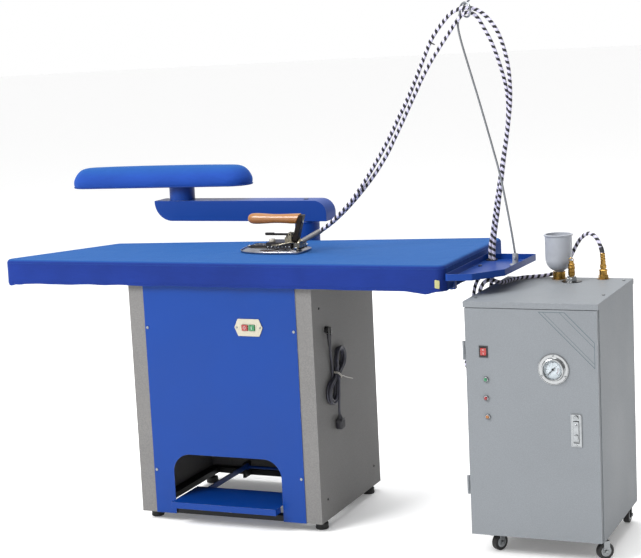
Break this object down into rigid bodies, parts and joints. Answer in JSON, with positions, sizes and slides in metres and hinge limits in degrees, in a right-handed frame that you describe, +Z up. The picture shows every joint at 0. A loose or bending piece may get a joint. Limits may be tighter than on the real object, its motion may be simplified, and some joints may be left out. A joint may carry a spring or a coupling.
{
  "type": "steam generator ironing station",
  "caption": "Vacuum ironing table with foot pedal, swinging sleeve arm and padded top, steam iron on a hose pole, and a castored steam generator that feeds it through a braided hose.",
  "frame": {"origin": "on the floor, under the middle of the bounding box of the whole set without its free cords", "axes": "+Z up, +X along the table from the narrow end towards the generator, -Y towards the person who irons"},
  "size_m": [2.0292, 0.7368, 1.6167],
  "materials": {
    "grey_side_paint": "fine texture powder coat",
    "royal_blue_paint": "smooth powder coat",
    "black_frame_paint": "satin black enamel",
    "foot_rubber": "matt moulded rubber",
    "galvanised_sheet": "galvanised",
    "blue_cover_cloth": "woven polyester cover over foam pad",
    "impeller_steel": "pressed steel",
    "cast_motor": "cast aluminium",
    "damper_brass": "satin",
    "ivory_plastic": "moulded",
    "green_button": "moulded",
    "red_button": "moulded",
    "zinc_screw": "zinc plated",
    "black_pvc": "moulded PVC",
    "grey_socket_plastic": "moulded nylon",
    "spring_steel": "drawn rod",
    "cast_sole": "polished cast aluminium",
    "black_iron_plastic": "ribbed phenolic",
    "iron_bracket_steel": "heat-darkened enamel",
    "handle_wood": "varnished beech",
    "valve_brass": "nickelled brass",
    "knob_plastic": "moulded",
    "braided_hose": "black and white textile braid",
    "case_grey_paint": "hammer-fine powder coat",
    "gauge_steel": "polished stainless",
    "needle_black": "painted",
    "switch_black_plastic": "moulded",
    "rocker_red": "translucent moulded",
    "lock_chrome": "die-cast chrome",
    "funnel_white": "translucent polypropylene",
    "fitting_brass": "turned brass",
    "boiler_steel": "welded stainless",
    "pump_bronze": "cast",
    "castor_tyre": "moulded polyurethane tread"
  },
  "bodies": {
    "stand": {"left_side_panel": "grey_side_paint", "right_side_panel": "grey_side_paint", "front_panel": "royal_blue_paint", "back_panel": "grey_side_paint", "base_frame": "black_frame_paint", "levelling_feet": "foot_rubber", "vacuum_box": "galvanised_sheet", "table_cover": "blue_cover_cloth", "blower_housing": "black_frame_paint", "blower_motor": "cast_motor", "switch_plate": "ivory_plastic", "panel_screws": "zinc_screw", "mains_cable": "black_pvc", "mains_hank": "black_pvc", "mains_plug": "black_pvc", "cable_glands": "black_pvc", "side_tray": "royal_blue_paint", "pole_socket": "grey_socket_plastic", "hose_pole": "spring_steel", "column_socket": "royal_blue_paint", "steam_hose": "braided_hose", "iron_cable": "braided_hose", "gen_base": "black_frame_paint", "gen_shell": "case_grey_paint", "gen_lid": "case_grey_paint", "funnel": "funnel_white", "safety_valve": "fitting_brass", "brass_fittings": "fitting_brass", "boiler": "boiler_steel", "water_tank": "impeller_steel", "feed_pump": "pump_bronze"},
    "pedal": {"foot_pedal": "royal_blue_paint"},
    "rod": {"pull_rod": "impeller_steel"},
    "flap": {"damper_flap": "damper_brass"},
    "fan": {"impeller": "impeller_steel"},
    "start": {"start_button": "green_button"},
    "stop": {"stop_button": "red_button"},
    "arm": {"swing_arm": "royal_blue_paint"},
    "buck": {"buck_frame": "royal_blue_paint", "buck_cover": "blue_cover_cloth"},
    "iron": {"iron_soleplate": "cast_sole", "iron_body": "black_iron_plastic", "iron_bracket": "iron_bracket_steel", "iron_handle": "handle_wood", "iron_valve": "valve_brass"},
    "trigger": {"iron_trigger": "black_iron_plastic"},
    "knob": {"iron_knob": "knob_plastic"},
    "door": {"gen_door": "case_grey_paint", "gauge_case": "gauge_steel", "switch_and_lamp_bodies": "switch_black_plastic", "lock_plate": "lock_chrome"},
    "needle": {"gauge_needle": "needle_black"},
    "rocker": {"rocker_switch": "rocker_red"},
    "lock": {"lock_handle": "lock_chrome"},
    "fork_left": {"castor_fork_left": "black_frame_paint"},
    "fork_right": {"castor_fork_right": "black_frame_paint"},
    "front_wheel_left": {"wheel_front_left": "castor_tyre"},
    "front_wheel_right": {"wheel_front_right": "castor_tyre"},
    "rear_wheel_left": {"wheel_rear_left": "castor_tyre"},
    "rear_wheel_right": {"wheel_rear_right": "castor_tyre"}
  },
  "joints": [
    {"name": "pedal_press", "type": "hinge", "parent": "stand", "child": "pedal", "pos_m": [-0.21548, 0.16362, 0.066], "axis": [1, 0, 0], "range_deg": [0, 3], "stiffness_Nm_per_rad": 90, "springref_deg": -6.88},
    {"name": "rod_pull", "type": "slide", "parent": "stand", "child": "rod", "axis": [0, 0, -1], "range_m": [0, 0.0106]},
    {"name": "flap_turn", "type": "hinge", "parent": "stand", "child": "flap", "pos_m": [-0.21548, -0.02638, 0.73], "axis": [1, 0, 0], "range_deg": [0, 60.5]},
    {"name": "fan_spin", "type": "hinge", "parent": "stand", "child": "fan", "pos_m": [-0.21548, -0.02638, 0.6], "axis": [0, 0, 1], "continuous": true},
    {"name": "start_push", "type": "slide", "parent": "stand", "child": "start", "axis": [0, 1, 0], "range_m": [0, 0.0025], "stiffness_N_per_m": 800, "springref_m": -0.002},
    {"name": "stop_push", "type": "slide", "parent": "stand", "child": "stop", "axis": [0, 1, 0], "range_m": [0, 0.0025], "stiffness_N_per_m": 800, "springref_m": -0.002},
    {"name": "arm_swing", "type": "hinge", "parent": "stand", "child": "arm", "pos_m": [-0.14348, 0.27862, 0.909], "axis": [0, 0, 1], "range_deg": [-45, 50]},
    {"name": "buck_swivel", "type": "hinge", "parent": "arm", "child": "buck", "pos_m": [-0.61248, 0.27862, 0.979], "axis": [0, 0, 1], "range_deg": [-90, 90]},
    {"name": "iron_glide", "type": "slide", "parent": "stand", "child": "iron", "axis": [0, -1, 0], "range_m": [0, 0.12]},
    {"name": "trigger_squeeze", "type": "hinge", "parent": "iron", "child": "trigger", "pos_m": [-0.05148, -0.06138, 0.907], "axis": [0, 1, 0], "range_deg": [0, 8], "stiffness_Nm_per_rad": 1.5, "springref_deg": -5.73},
    {"name": "knob_turn", "type": "hinge", "parent": "iron", "child": "knob", "pos_m": [-0.11048, -0.07938, 0.885], "axis": [0, 0, 1], "range_deg": [0, 270]},
    {"name": "door_open", "type": "hinge", "parent": "stand", "child": "door", "pos_m": [0.60602, -0.34838, 0.4], "axis": [0, 0, -1], "range_deg": [0, 110]},
    {"name": "needle_turn", "type": "hinge", "parent": "door", "child": "needle", "pos_m": [0.87152, -0.36238, 0.568], "axis": [0, 1, 0], "range_deg": [0, 270], "stiffness_Nm_per_rad": 0.01},
    {"name": "rocker_rock", "type": "hinge", "parent": "door", "child": "rocker", "pos_m": [0.66652, -0.35038, 0.612], "axis": [1, 0, 0], "range_deg": [-8, 8], "stiffness_Nm_per_rad": 0.5},
    {"name": "lock_lift", "type": "hinge", "parent": "door", "child": "lock", "pos_m": [0.93352, -0.35538, 0.3605], "axis": [1, 0, 0], "range_deg": [0, 60], "stiffness_Nm_per_rad": 0.3, "springref_deg": -5.73},
    {"name": "fork_left_swivel", "type": "hinge", "parent": "stand", "child": "fork_left", "pos_m": [0.66252, -0.30438, 0.054], "axis": [0, 0, 1], "continuous": true},
    {"name": "fork_right_swivel", "type": "hinge", "parent": "stand", "child": "fork_right", "pos_m": [0.97252, -0.30438, 0.054], "axis": [0, 0, 1], "continuous": true},
    {"name": "front_left_roll", "type": "hinge", "parent": "fork_left", "child": "front_wheel_left", "pos_m": [0.67452, -0.28359, 0.025], "axis": [0.866, -0.5, 0], "continuous": true},
    {"name": "front_right_roll", "type": "hinge", "parent": "fork_right", "child": "front_wheel_right", "pos_m": [0.99091, -0.28895, 0.025], "axis": [0.6428, -0.766, 0], "continuous": true},
    {"name": "rear_left_roll", "type": "hinge", "parent": "stand", "child": "rear_wheel_left", "pos_m": [0.64952, 0.06662, 0.025], "axis": [1, 0, 0], "continuous": true},
    {"name": "rear_right_roll", "type": "hinge", "parent": "stand", "child": "rear_wheel_right", "pos_m": [0.97652, 0.06662, 0.025], "axis": [1, 0, 0], "continuous": true}
  ],
  "couplings": [
    {"joint": "rod_pull", "follows": "pedal_press", "m_per_rad": 0.1993},
    {"joint": "flap_turn", "follows": "pedal_press", "ratio": 20}
  ]
}
